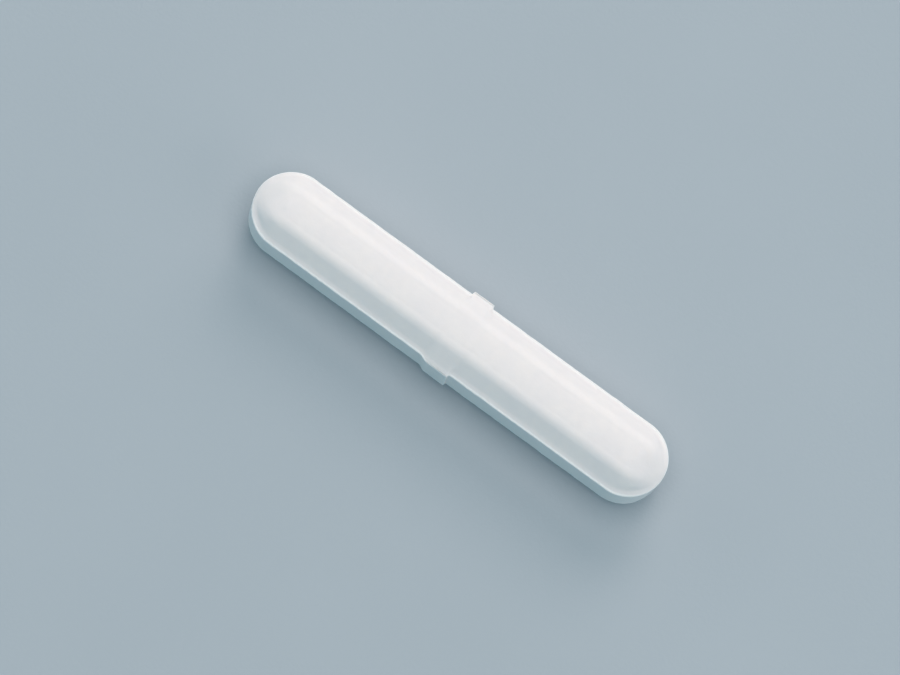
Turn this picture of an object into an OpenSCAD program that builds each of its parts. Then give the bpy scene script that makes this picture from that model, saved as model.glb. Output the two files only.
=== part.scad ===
// Magnetic stir bar: a rod magnet sealed inside a one-piece moulded jacket.
// The bar lies along X. It rests on the flat underside of its pivot ring, at Z = 0,
// and the origin is the middle of that underside.

/* [Bar] */
// Length of the bar over its round ends
bar_l = 50; // [46:1:80]
// Width of the bar across the side band
bar_w = 8.2; // [7.4:0.1:10]
// Height of the bar between its two flats
bar_h = 8.2; // [7.4:0.1:10]

/* [Section] */
// Height of the upright band round the sides
band_h = 4.2; // [3:0.1:5]
// Width of each flat, from crease to crease
flat_w = 4.1; // [3:0.1:4.6]
// Radius of the soft crease between a flat and its slope
crease_r = 1.7; // [0.5:0.1:2]
// Width over which a slope flares out to the band's edge
brim_w = 0.4; // [0.2:0.05:0.6]
// Angle of the flare where it meets the band, from level
brim_a = 15; // [5:1:25]

/* [Pivot ring] */
// Length of the ring along the bar
ring_l = 2.7; // [2:0.1:5]
// Height of the ring above the bar's sides
ring_side_t = 0.38; // [0.2:0.02:0.8]
// Height of the ring above the bar's flats
ring_flat_t = 0.08; // [0.04:0.02:0.4]
// Length of the ring's underfilled corner
slack_l = 0.55; // [0.2:0.05:1]
// Depth of the ring's underfilled corner
slack_t = 0.3; // [0.1:0.02:0.4]

/* [Magnet] */
// Thickness of the jacket over the magnet's sides
wall_t = 1.35; // [0.8:0.05:1.6]
// Thickness of the jacket beyond the magnet's ends
end_t = 5; // [3:0.5:8]
// Bevel round each end of the magnet
bevel_t = 0.4; // [0.1:0.1:0.8]
// Clearance between the magnet and its cavity
magnet_gap = 0.03; // [0.01:0.01:0.1]

/* [Hidden] */
$fn = 96;

// The round ends share the bar's width, and the rest of its length is straight.
straight_l = bar_l - bar_w;
// The bar's centre line, with the ring's underside on the ground
axis_z = bar_h / 2 + ring_flat_t;
// The cavity follows the jacket's walls, and the magnet follows the cavity.
cavity_d = min(bar_w, bar_h) - 2 * wall_t;
cavity_l = bar_l - 2 * end_t;
magnet_d = cavity_d - 2 * magnet_gap;
magnet_l = cavity_l - 2 * magnet_gap;

// Upper right quarter of the section across the bar, raised by side_t at the sides and
// flat_t at the flats: a flat, a soft crease, a slope, and a flare that ends on the band.
module quarter(side_t, flat_t) {
    half_w = bar_w / 2 + side_t;
    half_h = bar_h / 2 + flat_t;
    half_band = band_h / 2;
    crease_y = flat_w / 2;
    foot_y = half_w - brim_w;
    foot_z = half_band + brim_w * tan(brim_a);
    slope_a = atan2(half_h - foot_z, foot_y - crease_y);
    // From the sharp crease, or the sharp foot, to the ends of its rounding
    crease_reach = crease_r * tan(slope_a / 2);
    foot_reach = brim_w / cos(brim_a);
    foot_r = foot_reach / tan((slope_a - brim_a) / 2);
    difference() {
        union() {
            polygon([
                [0, 0],
                [0, half_h],
                [crease_y - crease_reach, half_h],
                [crease_y + crease_reach * cos(slope_a), half_h - crease_reach * sin(slope_a)],
                [foot_y - foot_reach * cos(slope_a), foot_z + foot_reach * sin(slope_a)],
                [half_w, half_band],
                [half_w, 0]
            ]);
            translate([crease_y - crease_reach, half_h - crease_r]) circle(r = crease_r);
        }
        translate([half_w + foot_r * sin(brim_a), half_band + foot_r * cos(brim_a)]) circle(r = foot_r);
    }
}

// Section across the bar, in Y and Z, the same on both sides and both faces
module section(side_t = 0, flat_t = 0) {
    for (side = [0, 1], face = [0, 1])
        mirror([side, 0]) mirror([0, face]) quarter(side_t, flat_t);
}

// Half of the section, on the outer side of a round end's axis
module half_section() {
    intersection() {
        section();
        translate([0, -bar_h]) square([bar_w, 2 * bar_h]);
    }
}

// A length of a section along X, centred on the bar
module along_bar(l) {
    rotate([90, 0, 90])
        linear_extrude(height = l, center = true) children();
}

// Half turn of the section that closes the bar at +X
module round_end() {
    translate([straight_l / 2, 0, 0])
        rotate([0, 0, -90])
            rotate_extrude(angle = 180) half_section();
}

// Rod with bevelled ends, along X
module rod(d, l) {
    rotate([0, 90, 0])
        rotate_extrude() polygon([
            [0, -l / 2],
            [d / 2 - bevel_t, -l / 2],
            [d / 2, -l / 2 + bevel_t],
            [d / 2, l / 2 - bevel_t],
            [d / 2 - bevel_t, l / 2],
            [0, l / 2]
        ]);
}

// Wedge taken off the ring's -X end on its -Y side, from the middle of the band down,
// where the moulding did not fill out
module underfilled_corner() {
    translate([-ring_l / 2, -bar_w / 2 - ring_side_t, -bar_h])
        linear_extrude(height = bar_h)
            polygon([
                [-slack_l, -slack_t],
                [slack_l, -slack_t],
                [slack_l, 0],
                [0, slack_t],
                [-slack_l, slack_t]
            ]);
}

module jacket() {
    color("whitesmoke")
        translate([0, 0, axis_z])
            difference() {
                union() {
                    along_bar(straight_l) section();
                    round_end();
                    mirror([1, 0, 0]) round_end();
                    difference() {
                        along_bar(ring_l) section(ring_side_t, ring_flat_t);
                        underfilled_corner();
                    }
                }
                rod(cavity_d, cavity_l);
            }
}

module magnet() {
    color("dimgray")
        translate([0, 0, axis_z])
            rod(magnet_d, magnet_l);
}

jacket();
magnet();
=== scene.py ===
import math

import bmesh
import bpy
from mathutils import Matrix, Vector, noise


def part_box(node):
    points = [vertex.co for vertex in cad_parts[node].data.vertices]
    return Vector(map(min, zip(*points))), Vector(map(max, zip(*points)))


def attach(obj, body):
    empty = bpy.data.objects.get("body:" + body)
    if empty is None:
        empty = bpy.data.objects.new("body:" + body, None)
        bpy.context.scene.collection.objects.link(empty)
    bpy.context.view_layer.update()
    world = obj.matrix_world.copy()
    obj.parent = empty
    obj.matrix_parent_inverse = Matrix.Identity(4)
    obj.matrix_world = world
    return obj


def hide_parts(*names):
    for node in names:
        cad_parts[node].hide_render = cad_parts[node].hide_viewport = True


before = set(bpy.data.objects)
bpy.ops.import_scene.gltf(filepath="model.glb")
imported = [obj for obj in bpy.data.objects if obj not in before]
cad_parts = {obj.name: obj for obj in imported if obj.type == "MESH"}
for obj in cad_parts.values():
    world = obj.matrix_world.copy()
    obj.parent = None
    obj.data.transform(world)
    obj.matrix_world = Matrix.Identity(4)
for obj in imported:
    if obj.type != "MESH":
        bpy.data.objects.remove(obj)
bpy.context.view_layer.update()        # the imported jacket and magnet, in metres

mm = 0.001
weldGap = mm / 10000     # points closer than this become one
seamGap = mm / 1000      # points this close to a seam lie on it


def clamp(value):
    return min(max(value, 0), 1)


def smoothStep(value):
    value = clamp(value)
    return value * value * (3 - 2 * value)


def bump(value, middle, reach):
    # 1 at the middle, falling smoothly to 0 at the reach on both sides
    return smoothStep(1 - abs(value - middle) / reach)


def activate(piece):
    bpy.ops.object.select_all(action="DESELECT")
    piece.select_set(True)
    bpy.context.view_layer.objects.active = piece


def pick(mesh, wanted):
    # selects the vertices that pass the test, and the edges and faces between them
    for vertex in mesh.verts:
        vertex.select = wanted(vertex.co)
    mesh.select_mode = {"VERT"}
    mesh.select_flush_mode()
    mesh.select_flush(True)


class Wire:
    # a value in a shader: arithmetic on it adds Math nodes
    def __init__(self, tree, socket):
        self.tree = tree
        self.socket = socket

    def maths(self, operation, first, second):
        node = self.tree.nodes.new("ShaderNodeMath")
        node.operation = operation
        plug(self.tree, node.inputs[0], first)
        plug(self.tree, node.inputs[1], second)
        return Wire(self.tree, node.outputs[0])

    def __add__(self, other):
        return self.maths("ADD", self, other)

    def __radd__(self, other):
        return self.maths("ADD", other, self)

    def __sub__(self, other):
        return self.maths("SUBTRACT", self, other)

    def __rsub__(self, other):
        return self.maths("SUBTRACT", other, self)

    def __mul__(self, other):
        return self.maths("MULTIPLY", self, other)

    def __rmul__(self, other):
        return self.maths("MULTIPLY", other, self)

    def __abs__(self):
        return self.maths("ABSOLUTE", self, 0)


def plug(tree, socket, value):
    if isinstance(value, Wire):
        tree.links.new(value.socket, socket)
    else:
        socket.default_value = value


class Finish:
    # one material: a Principled shader, and the nodes that feed it
    def __init__(self, name):
        self.material = bpy.data.materials.new(name)
        self.material.use_nodes = True
        self.tree = self.material.node_tree
        self.shader = self.tree.nodes["Principled BSDF"]
        self.place = self.node("ShaderNodeTexCoord", {}, {})["Object"]

    def node(self, kind, settings, values):
        # a socket is named, or numbered where a node has several of one name
        made = self.tree.nodes.new(kind)
        for name, setting in settings.items():
            setattr(made, name, setting)
        for name, value in values.items():
            plug(self.tree, made.inputs[name], value)
        return {output.name: Wire(self.tree, output) for output in made.outputs if output.enabled}

    def grain(self, size, detail, stretch=(1, 1, 1), rough=0.5):
        # soft noise from 0 to 1, with features of about the given size
        values = {"Vector": self.place, "Scale": stretch}
        placed = self.node("ShaderNodeMapping", {}, values)["Vector"]
        values = {"Vector": placed, "Scale": 1 / size, "Detail": detail, "Roughness": rough}
        return self.node("ShaderNodeTexNoise", {}, values)["Fac"]

    def height(self):
        return self.node("ShaderNodeSeparateXYZ", {}, {"Vector": self.place})["Z"]

    def band(self, value, low, high):
        # 0 below low, 1 above high, smooth between
        settings = {"interpolation_type": "SMOOTHSTEP"}
        values = {"Value": value, "From Min": low, "From Max": high}
        return self.node("ShaderNodeMapRange", settings, values)["Result"]

    def blend(self, share, first, second):
        # first colour where the share is 0, second where it is 1; 6 and 7 take the colours
        values = {0: share, 6: first, 7: second}
        return self.node("ShaderNodeMix", {"data_type": "RGBA"}, values)["Result"]

    def relief(self, height, depth):
        return self.node("ShaderNodeBump", {}, {"Height": height, "Distance": depth})["Normal"]

    def set(self, **values):
        for name, value in values.items():
            plug(self.tree, self.shader.inputs[name.replace("_", " ")], value)


jacket = {
    # the section, across the bar
    "bandH": 4.2 * mm,                 # upright band round the sides
    "flatW": 4.0 * mm,                 # each flat, from crease to crease
    "creaseR": 1.6 * mm,               # soft crease beside a flat
    "crown": 0.08 * mm,                # rise of a flat in its middle
    "brimW": 0.4 * mm,                 # flare at the foot of a slope
    "brimA": math.radians(15),         # angle of the flare at the band's edge
    "flareStop": 0.75,                 # how far in from the side it ends, as a share of edgeR
    "edgeR": 0.05 * mm,                # rounding of the band's edges
    "edgeUp": 0.02 * mm,               # how far an edge stands above the band
    "lipH": 0.05 * mm,                 # fine raised lip inside each edge
    "lipIn": 0.08 * mm,                # from the side to the lip, and half its width
    "grooveD": 0.02 * mm,              # fine groove in the band
    "grooveDown": 0.2 * mm,            # how far it lies under the edge
    "grooveReach": 0.15 * mm,          # half its width

    # the round ends
    "tipReach": 2.4 * mm,              # from the seam to the crease at a tip
    "cornerPower": 2.6,                # the flat's corners: 2 is round, more is squarer
    "cornerTurn": 50,                  # where a corner is, in degrees round from the tip
    "cornerSpan": 45,                  # and how far it reaches to both sides
    "brimSpread": 0.15 * mm,           # how much wider the flare is at the corners
    "spreadReach": 0.9 * mm,           # how far up the slope that is felt
    "domeStart": 0.45 * mm,            # from the seam to where a tip's dome starts
    "domePower": 1.48,                 # its fall: 1 is a cone, more is rounder
    "domeTurn": 90,                    # where it has faded out, in degrees from the tip
    "domeBlend": 0.15,                 # share of its width that blends into the flat
    "domeFoot": 0.05 * mm,             # height over which it blends into the band

    # the pivot ring
    "ringL": 2.7 * mm,                 # its length, along the bar
    "ringSide": 0.38 * mm,             # its height above the sides
    "ringNear": 0.85,                  # share of that height that the -Y side has
    "ringFlat": 0.08 * mm,             # its height above the flats
    "shoulder": 0.15 * mm,             # width of its shoulders on the band
    "softShoulder": 1.0 * mm,          # and on the slopes and flats
    "softRise": 0.7 * mm,              # height above the band at which they are that soft
    "ringSkew": 0.18 * mm,             # how far its +X shoulder runs out of square
    "skewLow": 0.5,                    # how much more of that there is low down
    "skewReach": 1.3 * mm,             # how far along the bar that is felt

    # the underfilled shoulder, on the -X -Y side: its ramp's places are from the bar's middle
    "rampFrom": 2.0 * mm,              # where it starts, across the bar
    "rampGrow": 1.8 * mm,              # and over what width it comes in
    "rampOuter": 1.7 * mm,             # its foot, along the bar
    "rampOuterUp": 0.4 * mm,           # and how much further out that is at the top
    "rampInner": 0.85 * mm,            # its head, along the bar
    "rampInnerUp": 0.1 * mm,           # and how much further out that is at the top
    "rampFade": 6 * mm,                # where its pull on the body has faded out

    # the wear of the mould
    "sinkT": 0.03 * mm,                # how unevenly the faces have sunk
    "sinkWide": 5 * mm,                # size of the slow hollows
    "sinkFine": 1.7 * mm,              # and of the quicker ones
    "sinkMix": (0.4, 0.4, 0.25),       # how much is all over, in the slow, in the quicker
    "flashT": 0.04 * mm,               # unevenness of the moulded edges
    "flashReach": 0.14 * mm,           # how far above and below an edge it goes
    "waveSize": (1.6 * mm, 2 * mm, 1 * mm),    # its waves, along, across and up
    "rippleSize": (0.45 * mm, 0.6 * mm),       # and the ripples on them, along and across
    "flashMix": (0.2, 0.5),            # what stands out all over, and the ripples' share
    "flashUp": 0.5,                    # share of the unevenness that is up and down

    # how many faces, and how they gather
    "flatSteps": 8,                    # from the middle of a flat to its crease
    "arcSteps": 12,                    # round the crease, and round the flare
    "slopeSteps": 6,                   # down the slope between them
    "flareBunch": 1.7,                 # how much closer the flare's faces get at its edge
    "edgeSteps": 4,                    # round the band's edge
    "bandSteps": 12,                   # down half of the band
    "bandBunch": 1.6,                  # how much closer they get at its edge
    "endSteps": 36,                    # round a quarter of an end
    "bodySteps": 100,                  # along half of the straight body
    "shoulderSteps": 40,               # across a shoulder of the ring
    "ringSteps": 6,                    # along half of the ring
    "smoothA": math.radians(50),       # sharper bends than this show as edges

    # the grain of the plastic, and the stretch of each noise over which its mask comes in
    "cloud": {"size": 3.5 * mm, "detail": 2},
    "cloudRange": (0.35, 0.65),
    "mottle": {"size": 0.9 * mm, "detail": 3},
    "mottleRange": (0.3, 0.75),
    "pits": {"size": 0.16 * mm, "detail": 2, "rough": 0.6},
    "skin": {"size": 0.5 * mm, "detail": 3, "stretch": (0.5, 1, 1)},

    # the heights over which the edges' masks come in, measured from the top of the band
    # painted highlight: the top of the band, and its rims most, are lightened between these
    # heights
    "paintedBandLightRange": (-0.35 * mm, 0),
    "rimRange": (-0.03 * mm, 0.01 * mm),
    "aboveEdge": (0.03 * mm, 0.12 * mm),

    # the colours, and how strongly each one covers
    "resin": (0.863, 0.842, 0.846, 1),
    "clouded": (0.885, 0.860, 0.854, 1),
    "mottled": (0.84, 0.824, 0.83, 1),
    # a painted highlight colour, which the two shares below lay on the top of the band and on its
    # rims
    "paintedHighlightColour": (0.95, 0.955, 0.96, 1),
    "mottleShare": 0.5,
    "paintedBandLightShare": 0.3,
    "rimPaintedShare": 0.6,

    # the surface
    "rough": 0.64,
    "mottleRough": 0.14,               # how much rougher the mottling is
    "rimSmooth": 0.3,                  # and how much smoother the rims are
    "reliefD": 0.02 * mm,              # height of the relief, and the parts in it
    "skinRelief": 0.6,
    "pitRelief": 0.25,
    "mottleRelief": 0.4,
    "refraction": 1.38,
    "reflection": 0.25,                # strength of what it mirrors, 0.5 is plain
    "lightSpread": 0.45 * mm,          # how far light travels inside
    "lightShares": (1.0, 0.97, 0.94),  # and how much of that red, green and blue do
}

lowest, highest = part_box("jacket")
middle = (lowest + highest) / 2
halfL = (highest.x - lowest.x) / 2
halfW = (highest.y - lowest.y) / 2 - jacket["ringSide"]
halfH = (highest.z - lowest.z) / 2 - jacket["ringFlat"]
halfBand = jacket["bandH"] / 2
edgeZ = halfBand + jacket["edgeUp"]
crease = jacket["flatW"] / 2
seamX = halfL - halfW                  # where the straight body meets a round end


def arc(centre, radius, start, stop, steps, bunch=1):
    # angles are measured from straight up towards the side; bunch draws the points to the stop
    shares = [1 - (1 - step / steps) ** bunch for step in range(steps + 1)]
    turns = [start + (stop - start) * share for share in shares]
    return [centre + radius * Vector((math.sin(turn), math.cos(turn))) for turn in turns]


def quarterSection(side, flat):
    # from the middle of the top round to the middle of the band, as (across, up);
    # side and flat are the heights that the ring adds there
    width, height = halfW + side, halfH + flat
    creaseR, edgeR, lipIn = jacket["creaseR"], jacket["edgeR"], jacket["lipIn"]
    brimW, brimA = jacket["brimW"], jacket["brimA"]
    foot = Vector((width - brimW, halfBand + brimW * math.tan(brimA)))
    slope = math.atan2(height - foot.y, foot.x - crease)
    start = crease - creaseR * math.tan(slope / 2)
    steps = jacket["flatSteps"]
    points = [Vector((start * step / steps, height)) for step in range(steps)]
    points += arc(Vector((start, height - creaseR)), creaseR, 0, slope, jacket["arcSteps"])
    flareR = brimW / math.cos(brimA) / math.tan((slope - brimA) / 2)
    centre = Vector((width + flareR * math.sin(brimA), halfBand + flareR * math.cos(brimA)))
    stop = math.asin(math.sin(brimA) + jacket["flareStop"] * edgeR / flareR)
    flare = arc(centre, -flareR, slope, stop, jacket["arcSteps"], jacket["flareBunch"])
    steps = jacket["slopeSteps"]
    points += [points[-1].lerp(flare[0], step / steps) for step in range(1, steps)] + flare
    # the crown lowers all that lies outside the middle, less and less down the slope
    for point in points:
        down = smoothStep((height - point.y) / (height - halfBand))
        point.y -= jacket["crown"] * min(point.x / start, 1) ** 2 * (1 - down)
        point.y += jacket["lipH"] * bump(width - point.x, lipIn, lipIn)
    fall = edgeR * (1 - math.sin(brimA)) / math.cos(brimA)
    centre = Vector((width - edgeR, halfBand - fall))
    points += arc(centre, edgeR, brimA, math.pi / 2, jacket["edgeSteps"])
    top, steps = points[-1].y, jacket["bandSteps"]
    shares = [(step / steps) ** jacket["bandBunch"] for step in range(1, steps + 1)]
    band = [Vector((width, top * (1 - share))) for share in shares]
    groove = halfBand - jacket["grooveDown"]
    for point in band:
        point.x -= jacket["grooveD"] * bump(point.y, groove, jacket["grooveReach"])
    return points + band


def startChain(points, x):
    # one vertex, drawn out into the line of the section across the bar at x
    bpy.ops.object.select_all(action="DESELECT")
    bpy.ops.mesh.primitive_plane_add(size=mm)
    piece = bpy.context.object
    bpy.ops.object.mode_set(mode="EDIT")
    bpy.ops.mesh.merge(type="CENTER")
    bpy.ops.transform.translate(value=(x, points[0].x, points[0].y))
    for before, after in zip(points, points[1:]):
        step = (0, after.x - before.x, after.y - before.y)
        bpy.ops.mesh.extrude_region_move(TRANSFORM_OT_translate={"value": step})
    return piece


def drawChain(piece, x, section):
    # extrudes the selected line and sets it to the section, from the top down to the band
    bpy.ops.mesh.extrude_region_move(TRANSFORM_OT_translate={"value": (0, 0, 0)})
    mesh = bmesh.from_edit_mesh(piece.data)
    line = [vertex for vertex in mesh.verts if vertex.select]
    line.sort(key=lambda vertex: math.atan2(vertex.co.y, vertex.co.z))
    for vertex, point in zip(line, section):
        vertex.co = (x, point.x, point.y)
    bmesh.update_edit_mesh(piece.data)


def shoulderReach(up):
    # crisp on the band, soft on the slopes and flats
    soft = smoothStep((up - halfBand) / jacket["softRise"])
    return jacket["shoulder"] + (jacket["softShoulder"] - jacket["shoulder"]) * soft


def ringShare(x, up):
    # 0 on the body, 1 on the ring
    reach = shoulderReach(up)
    return smoothStep((jacket["ringL"] / 2 + reach / 2 - x) / reach)


def stationsFrom(first, last, steps):
    # even places along the bar, without the last
    return [first + (last - first) * step / steps for step in range(steps)]


def modelEighth():
    # the section is spun round a quarter of an end, then drawn along the body to the middle
    body = quarterSection(0, 0)
    ring = quarterSection(jacket["ringSide"], jacket["ringFlat"])
    piece = startChain(body, seamX)
    bpy.ops.mesh.select_all(action="SELECT")
    bpy.ops.mesh.spin(
        steps=jacket["endSteps"], angle=math.pi / 2, center=(seamX, 0, 0), axis=(0, 0, 1))
    bpy.ops.mesh.select_all(action="SELECT")
    bpy.ops.mesh.remove_doubles(threshold=weldGap)
    pick(bmesh.from_edit_mesh(piece.data), lambda co: abs(co.x - seamX) < seamGap)
    outside = (jacket["ringL"] + jacket["softShoulder"]) / 2
    inside = (jacket["ringL"] - jacket["softShoulder"]) / 2
    stations = stationsFrom(seamX, outside, jacket["bodySteps"])[1:]
    stations += stationsFrom(outside, inside, jacket["shoulderSteps"])
    steps = jacket["ringSteps"]
    stations += [inside * (1 - step / steps) for step in range(steps + 1)]
    for x in stations:
        section = [low.lerp(high, ringShare(x, low.y)) for low, high in zip(body, ring)]
        drawChain(piece, x, section)
    bpy.ops.object.mode_set(mode="OBJECT")
    return piece


def mirrorWhole(piece):
    activate(piece)
    whole = piece.modifiers.new("whole", "MIRROR")
    whole.use_axis = (True, True, True)
    whole.merge_threshold = seamGap
    bpy.ops.object.modifier_apply(modifier="whole")
    bpy.ops.object.mode_set(mode="EDIT")
    bpy.ops.mesh.select_all(action="SELECT")
    bpy.ops.mesh.remove_doubles(threshold=weldGap)
    bpy.ops.mesh.normals_make_consistent(inside=False)
    bpy.ops.object.mode_set(mode="OBJECT")


def faceUnevenness(co):
    # slow hollows of the moulded faces; the vector is another place in the noise
    slow = noise.noise(co / jacket["sinkWide"])
    quick = noise.noise(co / jacket["sinkFine"] + Vector((7, 3, 1)))
    allOver, slowly, quickly = jacket["sinkMix"]
    return -jacket["sinkT"] * (allOver + slowly * slow + quickly * quick)


def edgeWave(co):
    # uneven lips along both edges of the band, in and out; 4 and 9 are places in the noise
    near = bump(abs(co.z), edgeZ, jacket["flashReach"])
    along, across, up = jacket["waveSize"]
    wave = noise.noise(Vector((co.x / along, co.y / across, 4 + co.z / up)))
    along, across = jacket["rippleSize"]
    ripple = noise.noise(Vector((co.x / along, co.y / across, 9)))
    allOver, rippled = jacket["flashMix"]
    return near * jacket["flashT"] * (allOver + wave + rippled * ripple)


def rampShoulder(co):
    # on the -Y side the ring's -X shoulder was underfilled: it is a ramp, longest at the top
    weight = smoothStep((-co.y - jacket["rampFrom"]) / jacket["rampGrow"])
    high = clamp((co.z + halfBand) / (2 * halfBand))
    reach = shoulderReach(abs(co.z))
    outer, inner = -(jacket["ringL"] + reach) / 2, -(jacket["ringL"] - reach) / 2
    outward = min(-jacket["rampOuter"] - jacket["rampOuterUp"] * high, outer) - outer
    inward = max(-jacket["rampInner"] - jacket["rampInnerUp"] * high, inner) - inner
    if co.x < outer:
        fade = jacket["rampFade"]
        return weight * outward * smoothStep((co.x + fade) / (outer + fade))
    if co.x < inner:
        share = (co.x - outer) / (inner - outer)
        return weight * (outward * (1 - share) + inward * share)
    if co.x < 0:
        return weight * inward * smoothStep(co.x / inner)
    return 0


def skewShoulder(co):
    # the +X shoulder runs a little out of square, further out on the -Y side and low down
    near = -co.y / halfW
    side = near + jacket["skewLow"] * clamp(-co.z / halfBand) * smoothStep(near)
    return jacket["ringSkew"] * side * bump(co.x, jacket["ringL"] / 2, jacket["skewReach"])


def creaseStretch(spoke):
    # how much further from the seam the squarer crease lies than a round one
    power = jacket["cornerPower"]
    squared = (spoke.x / jacket["tipReach"]) ** power + (spoke.y / crease) ** power
    return spoke.length / crease / squared ** (1 / power)


def spokeShift(radius, turn, stretch):
    # outwards to the squarer crease, and inwards where the flare is wider, at the corners
    foot = halfW - jacket["brimW"]
    reach = jacket["spreadReach"] if radius < foot else jacket["brimW"]
    corner = bump(turn, jacket["cornerTurn"], jacket["cornerSpan"])
    spread = jacket["brimSpread"] / radius * corner * bump(radius, foot, reach)
    return (stretch - 1) * clamp((foot - radius) / (foot - crease)) - spread


def domeRise(up, radius, turn, stretch):
    # from the slope to a gentle dome that is fullest at the tip; the band stays upright
    inner = jacket["domeStart"] * stretch
    out = clamp((radius - inner) / (halfW - inner))
    top = halfH - jacket["crown"]
    dome = top - (top - edgeZ) * out ** jacket["domePower"]
    rise = (dome - up) * smoothStep(1 - turn / jacket["domeTurn"])
    rise *= smoothStep(out / jacket["domeBlend"])
    return rise * smoothStep((up - halfBand) / jacket["domeFoot"])


def endShift(co):
    # how far a point of a round end moves along its spoke from the seam, and up or down
    spoke = Vector((max(abs(co.x) - seamX, 0), abs(co.y)))
    if spoke.x == 0 or spoke.length < seamGap:
        return Vector((0, 0, 0))
    turn = math.degrees(math.atan2(spoke.y, spoke.x))
    stretch = creaseStretch(spoke)
    shift = spokeShift(spoke.length, turn, stretch)
    rise = domeRise(abs(co.z), spoke.length * (1 + shift), turn, stretch)
    x = spoke.x * shift * math.copysign(1, co.x)
    return Vector((x, co.y * shift, rise * math.copysign(1, co.z)))


def wearIn(piece):
    # adds all the wear, and sets the mesh in its place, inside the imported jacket's box
    mesh = bmesh.new()
    mesh.from_mesh(piece.data)
    mesh.normal_update()
    elsewhere = Vector((3, 1, 0))      # for waves up and down that differ from those in and out
    for vertex in mesh.verts:
        co = vertex.co.copy()
        level = Vector((vertex.normal.x, vertex.normal.y, 0))
        moved = vertex.normal * faceUnevenness(co) + level * edgeWave(co) + endShift(co)
        moved.x += rampShoulder(co) + skewShoulder(co)
        moved.y += max(-co.y - halfW, 0) * (1 - jacket["ringNear"])
        moved.z += jacket["flashUp"] * edgeWave(co + elsewhere) * math.copysign(1, co.z)
        vertex.co = co + moved + middle
        for axis in range(3):
            vertex.co[axis] = min(max(vertex.co[axis], lowest[axis]), highest[axis])
    mesh.to_mesh(piece.data)
    mesh.free()


def makeJacket():
    piece = modelEighth()
    mirrorWhole(piece)
    wearIn(piece)
    piece.name = "jacket_moulding"
    activate(piece)
    bpy.ops.object.shade_smooth_by_angle(angle=jacket["smoothA"])
    return piece


def fluoropolymer():
    finish = Finish("fluoropolymer")
    cloud, mottle, pits, skin = (
        finish.grain(**jacket[name]) for name in ("cloud", "mottle", "pits", "skin"))
    height = abs(finish.height() - middle.z)
    # painted highlight: the band's edges are lightened, and their rims most of all; the rims are
    # also smoother
    above, rim, paintedBandLight = (
        finish.band(height, halfBand + low, halfBand + high)
        for low, high in (jacket["aboveEdge"], jacket["rimRange"], jacket["paintedBandLightRange"]))
    rim, paintedBandLight = rim * (1 - above), paintedBandLight * (1 - above)
    cloudy = finish.band(cloud, *jacket["cloudRange"])
    mottled = finish.band(mottle, *jacket["mottleRange"]) * jacket["mottleShare"]
    shade = finish.blend(cloudy, jacket["resin"], jacket["clouded"])
    shade = finish.blend(mottled, shade, jacket["mottled"])
    # painted highlight, laid over the plastic's own colour
    paintedLight = rim * jacket["rimPaintedShare"] + paintedBandLight * jacket["paintedBandLightShare"]
    relief = skin * jacket["skinRelief"] + pits * jacket["pitRelief"]
    relief = relief + mottle * jacket["mottleRelief"]
    finish.set(
        Base_Color=finish.blend(paintedLight, shade, jacket["paintedHighlightColour"]),
        Roughness=jacket["rough"] + jacket["mottleRough"] * mottle - jacket["rimSmooth"] * rim,
        IOR=jacket["refraction"],
        Specular_IOR_Level=jacket["reflection"],
        Subsurface_Weight=1.0,
        Subsurface_Radius=jacket["lightShares"],
        Subsurface_Scale=jacket["lightSpread"],
        Normal=finish.relief(relief, jacket["reliefD"]),
    )
    return finish.material


magnet = {
    "lines": {"size": 0.12 * mm, "detail": 3, "stretch": (1, 0.06, 0.06)},     # round the rod
    "cast": {"size": 0.8 * mm, "detail": 4},
    "castRange": (0.3, 0.7),
    "pocks": {"size": 0.35 * mm, "detail": 2},
    "pockRange": (0.68, 0.74),
    "dark": (0.36, 0.355, 0.35, 1),
    "light": (0.42, 0.42, 0.425, 1),
    "pocked": (0.12, 0.115, 0.11, 1),
    "metal": 0.95,
    "pockDull": 0.5,                   # how much less metallic the pocks are
    "rough": 0.34,
    "lineRough": 0.2,
    "pockRough": 0.2,
    "lineRelief": 0.5,
    "reliefD": 0.015 * mm,
}


def magnetAlloy():
    finish = Finish("magnet alloy")
    lines, cast, pocks = (finish.grain(**magnet[name]) for name in ("lines", "cast", "pocks"))
    pocks = finish.band(pocks, *magnet["pockRange"])
    cast = finish.band(cast, *magnet["castRange"])
    metal = finish.blend(cast, magnet["dark"], magnet["light"])
    finish.set(
        Base_Color=finish.blend(pocks, metal, magnet["pocked"]),
        Metallic=magnet["metal"] - magnet["pockDull"] * pocks,
        Roughness=magnet["rough"] + magnet["lineRough"] * lines + magnet["pockRough"] * pocks,
        Normal=finish.relief(lines * magnet["lineRelief"] - pocks, magnet["reliefD"]),
    )
    return finish.material


def dressMagnet():
    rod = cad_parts["magnet"]
    rod.data.materials.clear()
    rod.data.materials.append(magnetAlloy())


stage = {
    "floorSide": 10.0,
    "floorColour": (0.38, 0.45, 0.50, 1),
    "patch": {"size": 30 * mm, "detail": 3},
    "patchLift": 0.03,                 # how much paler the floor's patches are
    "tooth": {"size": 0.4 * mm, "detail": 2},
    "floorRough": 0.7,
    "toothRough": 0.1,
    "toothD": 0.02 * mm,
    # each lamp: the way to it, its distance and its width in metres, and its power in watts
    "lamps": {
        "key": ((-0.38, 1.0, 0.83), 1.2, 0.6, 3.8),
        "farWing": ((0, 1, 0.4), 2.4, 1.6, 11.5),
        "leftWing": ((-1, 0, 0.45), 2.4, 1.6, 2.9),
        "rightWing": ((1, 0, 0.45), 2.4, 1.6, 6.8),
        "overhead": ((0, 0, 1), 2.4, 2.4, 38.6),
    },
    "lampColour": (1.0, 0.805, 0.74),
    "skyColour": (0.27, 0.80, 0.98, 1),
    "skyStrength": 0.352,
}

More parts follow.
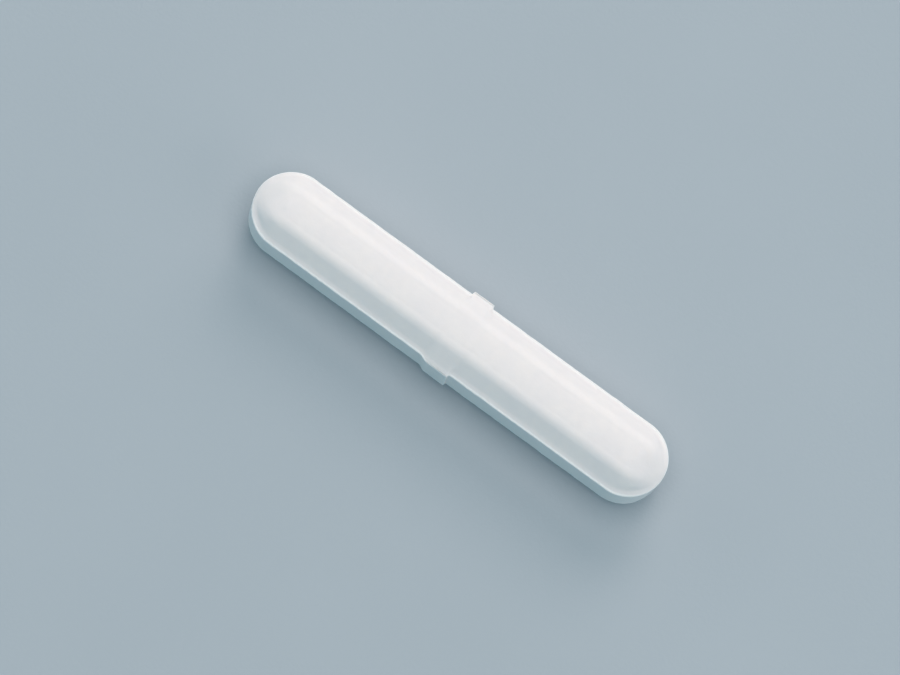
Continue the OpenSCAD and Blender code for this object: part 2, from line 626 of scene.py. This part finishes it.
camera = {
    "tilt": math.radians(12.3),        # off straight down, towards the near side (-Y)
    "lean": math.radians(1.3),         # and towards +X
    "turn": math.radians(36.1),        # how far the bar slopes down to the right
    "away": 500 * mm,
    "across": 90.7 * mm,               # width of the view at the bar
    "aim": Vector((-0.66 * mm, -0.43 * mm, 0)),
    "clipStart": 10 * mm,
}


def floorPaint():
    finish = Finish("floor paint")
    patch = finish.grain(**stage["patch"])
    tooth = finish.grain(**stage["tooth"])
    base = stage["floorColour"]
    light = tuple(stage["patchLift"] + part for part in base[:3]) + (1,)
    finish.set(
        Base_Color=finish.blend(patch, base, light),
        Roughness=stage["floorRough"] + stage["toothRough"] * tooth,
        Normal=finish.relief(tooth, stage["toothD"]),
    )
    return finish.material


def makeFloor():
    bpy.ops.object.select_all(action="DESELECT")
    bpy.ops.mesh.primitive_plane_add(size=stage["floorSide"])
    floor = bpy.context.object
    floor.name = "floor"
    floor.data.materials.append(floorPaint())


def makeLights():
    for name, (way, away, width, power) in stage["lamps"].items():
        lamp = bpy.data.lights.new(name, "AREA")
        lamp.shape = "DISK"
        lamp.size = width
        lamp.energy = power
        lamp.color = stage["lampColour"]
        toward = Vector(way).normalized()
        holder = bpy.data.objects.new(name, lamp)
        holder.location = middle + toward * away
        holder.rotation_euler = toward.to_track_quat("Z", "Y").to_euler()
        bpy.context.collection.objects.link(holder)
    world = bpy.data.worlds.new("sky")
    world.use_nodes = True
    background = world.node_tree.nodes["Background"]
    background.inputs["Color"].default_value = stage["skyColour"]
    background.inputs["Strength"].default_value = stage["skyStrength"]
    bpy.context.scene.world = world


def makeCamera():
    # looks down on the bar, turned so that the bar runs from upper left to lower right
    back = Vector((math.tan(camera["lean"]), -math.tan(camera["tilt"]), 1)).normalized()
    along = Vector((1, 0, 0))
    along = (along - back * along.dot(back)).normalized()
    upright = back.cross(along)
    turn = camera["turn"]
    right = along * math.cos(turn) + upright * math.sin(turn)
    up = upright * math.cos(turn) - along * math.sin(turn)
    lens = bpy.data.cameras.new("camera")
    lens.lens = lens.sensor_width * camera["away"] / camera["across"]
    lens.clip_start = camera["clipStart"]
    eye = bpy.data.objects.new("camera", lens)
    eye.matrix_world = Matrix((right, up, back)).transposed().to_4x4()
    eye.location = middle + camera["aim"] + back * camera["away"]
    bpy.context.collection.objects.link(eye)
    bpy.context.scene.camera = eye


makeCamera()
makeLights()
makeFloor()
bpy.context.scene.view_settings.view_transform = "Standard"
print("stage ready")

moulding = makeJacket()
moulding.data.materials.append(fluoropolymer())
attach(moulding, "root")
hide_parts("jacket")
print("jacket moulded:", len(moulding.data.polygons), "faces")

dressMagnet()
print("magnet dressed")
